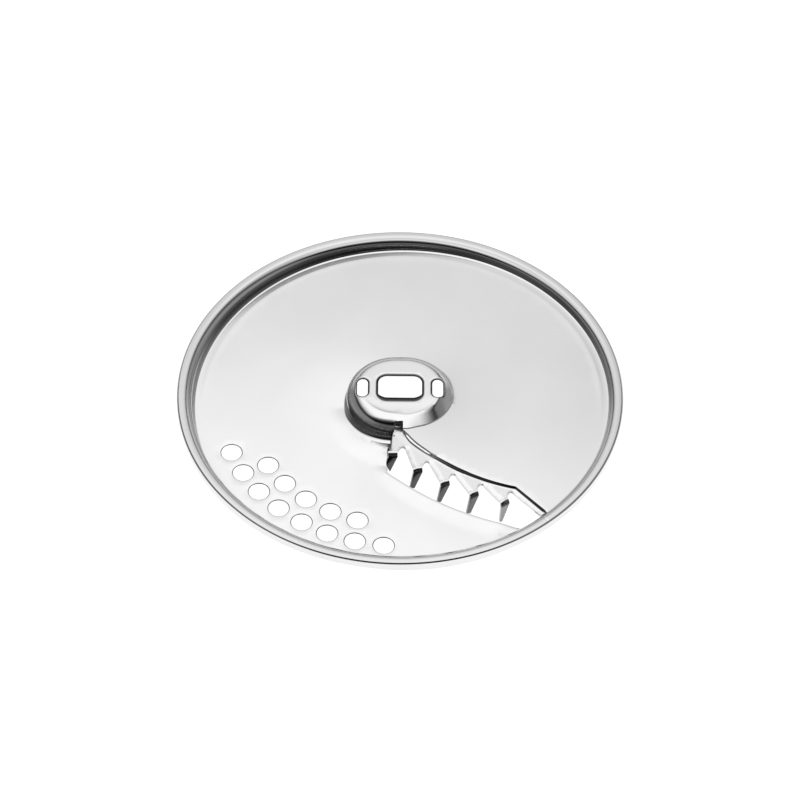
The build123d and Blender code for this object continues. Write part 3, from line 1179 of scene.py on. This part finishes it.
# Camera
ELEVATION = 48.05
ROLL = 0.52
DISTANCE = 1300.0
AIM_Z = 10.74
FOCAL_PX = 3.082 * DISTANCE
IMAGE = 800.0
SENSOR = 36.0
SHIFT_PX = (-0.1, -8.8)
cam_data = bpy.data.cameras.new("camera")
cam = bpy.data.objects.new("camera", cam_data)
bpy.context.scene.collection.objects.link(cam)
cam_data.sensor_width = SENSOR
cam_data.lens = FOCAL_PX / IMAGE * SENSOR
cam_data.shift_x = SHIFT_PX[0] / IMAGE
cam_data.shift_y = SHIFT_PX[1] / IMAGE
cam_data.clip_start = 0.05
cam_data.clip_end = 20.0
e = math.radians(ELEVATION)
place = Vector((0, -math.cos(e) * DISTANCE, AIM_Z + math.sin(e) * DISTANCE)) * MM
turn = Matrix.Rotation(math.radians(90 - ELEVATION), 4, "X") @ Matrix.Rotation(math.radians(ROLL), 4, "Z")
cam.matrix_world = Matrix.Translation(place) @ turn
bpy.context.scene.camera = cam


# The stage, in metres from here on
def panel(name, x0, y0, x1, y1, z, facing):
    """A level rectangle that faces up (1) or down (-1)."""
    corners = [(x0, y0, z), (x1, y0, z), (x1, y1, z), (x0, y1, z)]
    if facing < 0:
        corners = [corners[i] for i in (0, 3, 2, 1)]
    shape = bpy.data.meshes.new(name)
    shape.from_pydata(corners, [], [(0, 1, 2, 3)])
    made = bpy.data.objects.new(name, shape)
    bpy.context.scene.collection.objects.link(made)
    return made


# Table: shown and mirrored as white; in reflections a painted shadow makes it a little dimmer where the
# disc covers it
TABLE_HALF = 3.0
TABLE_GREY = (0.3, 0.3, 0.3, 1)
TABLE_SHOWN = 0.95
PAINTED_SHADOW_SPAN = (0.03, 0.07)
PAINTED_SHADOW_LEVEL = 0.85
table = panel("table", -TABLE_HALF, -TABLE_HALF, TABLE_HALF, TABLE_HALF, 0, 1)
white = bpy.data.materials.new("table_white")
nodes = Nodes(white)
path = nodes.add("LightPath").outputs
away = nodes.add("VectorMath", operation="LENGTH")
nodes.put(away.inputs[0], nodes.add("TexCoord").outputs["Object"])
# Painted shadow under the disc, seen only in reflections
clear = nodes.span(away.outputs["Value"], PAINTED_SHADOW_SPAN, (PAINTED_SHADOW_LEVEL, 1.0), "SMOOTHSTEP")
mirrored = nodes.math("MAXIMUM", path["Is Glossy Ray"], path["Is Transmission Ray"])
mirrored = nodes.math("MULTIPLY", mirrored, clear)
shown = nodes.math("MULTIPLY", path["Is Camera Ray"], TABLE_SHOWN)
glow = nodes.add("Emission")
nodes.put(glow.inputs["Strength"], nodes.math("MAXIMUM", shown, mirrored))
matte = nodes.add("BsdfDiffuse")
matte.inputs["Color"].default_value = TABLE_GREY
both = nodes.add("AddShader")
nodes.put(both.inputs[0], glow.outputs[0])
nodes.put(both.inputs[1], matte.outputs[0])
nodes.put(nodes.add("OutputMaterial").inputs[0], both.outputs[0])
table.data.materials.append(white)

# World: a dark studio with a low ring and soft lobes at the back, left and right.
# Each has an azimuth, an elevation, the angles where it starts and stops to fade, and a level.
STUDIO = (
    (0, -90, 112, 124, 0.17),
    (90, 10, 26, 52, 0.64),
    (180, 10, 25, 60, 0.14),
    (10, 20, 25, 62, 0.26),
)
STUDIO_BASE = 0.008
world = bpy.data.worlds.new("studio")
bpy.context.scene.world = world
nodes = Nodes(world)
sky_coords = nodes.add("TexCoord").outputs["Generated"]
sky = STUDIO_BASE
for az, el, inner, outer, amount in STUDIO:
    dot = nodes.add("VectorMath", operation="DOT_PRODUCT")
    nodes.put(dot.inputs[0], sky_coords)
    side_way = math.cos(math.radians(el))
    dot.inputs[1].default_value = (*polar(side_way, az), math.sin(math.radians(el)))
    fade = (math.cos(math.radians(outer)), math.cos(math.radians(inner)))
    lobe = nodes.span(dot.outputs["Value"], fade, kind="SMOOTHSTEP")
    sky = nodes.math("ADD", nodes.math("MULTIPLY", lobe, amount), sky)
mix = nodes.add("Mix", data_type="FLOAT")
nodes.put(mix.inputs["Factor"], nodes.add("LightPath").outputs["Is Camera Ray"])
nodes.put(mix.inputs["A"], sky)
mix.inputs["B"].default_value = 1.0
back = nodes.add("Background")
nodes.put(back.inputs["Strength"], mix.outputs["Result"])
nodes.put(nodes.add("OutputWorld").inputs[0], back.outputs[0])

# Soft box: a level panel close above the disc, brightest overhead and dimmer to the back
BOX_Z = 0.3
BOX = (-0.42, -0.4, 0.32, 0.72)
BOX_LEVELS = (
    (-0.29, 0.0), (-0.2, 0.05), (-0.14, 0.3), (-0.075, 1.24), (0.19, 1.22), (0.24, 1.05),
    (0.28, 0.93), (0.36, 0.89), (0.45, 0.82), (0.56, 0.5), (0.66, 0.05),
)
BOX_PEAK = 2.0
BOX_LEFT = (-0.37, -0.1)
BOX_RIGHT = (0.3, 0.04)
soft_box = panel("soft_box", *BOX, BOX_Z, -1)
soft_box.visible_camera = False
soft_box.visible_shadow = False
box_glow = bpy.data.materials.new("soft_box_glow")
nodes = Nodes(box_glow)
axes = nodes.add("SeparateXYZ")
nodes.put(axes.inputs[0], nodes.add("TexCoord").outputs["Object"])
bands = nodes.add("ValToRGB")
stops = bands.color_ramp.elements
while len(stops) < len(BOX_LEVELS):
    stops.new(0.5)
for stop, (y, _) in zip(stops, BOX_LEVELS):
    stop.position = (y - BOX[1]) / (BOX[3] - BOX[1])
for stop, (_, value) in zip(stops, BOX_LEVELS):
    stop.color = (*(value / BOX_PEAK,) * 3, 1)
nodes.put(bands.inputs[0], nodes.span(axes.outputs["Y"], (BOX[1], BOX[3])))
left = nodes.span(axes.outputs["X"], BOX_LEFT, kind="SMOOTHSTEP")
right = nodes.span(axes.outputs["X"], BOX_RIGHT, kind="SMOOTHSTEP")
level = nodes.math("MULTIPLY", nodes.math("MULTIPLY", left, right), bands.outputs["Color"])
glow = nodes.add("Emission")
nodes.put(glow.inputs["Strength"], nodes.math("MULTIPLY", level, BOX_PEAK))
nodes.put(nodes.add("OutputMaterial").inputs[0], glow.outputs[0])
soft_box.data.materials.append(box_glow)

bpy.context.scene.view_settings.view_transform = "Standard"
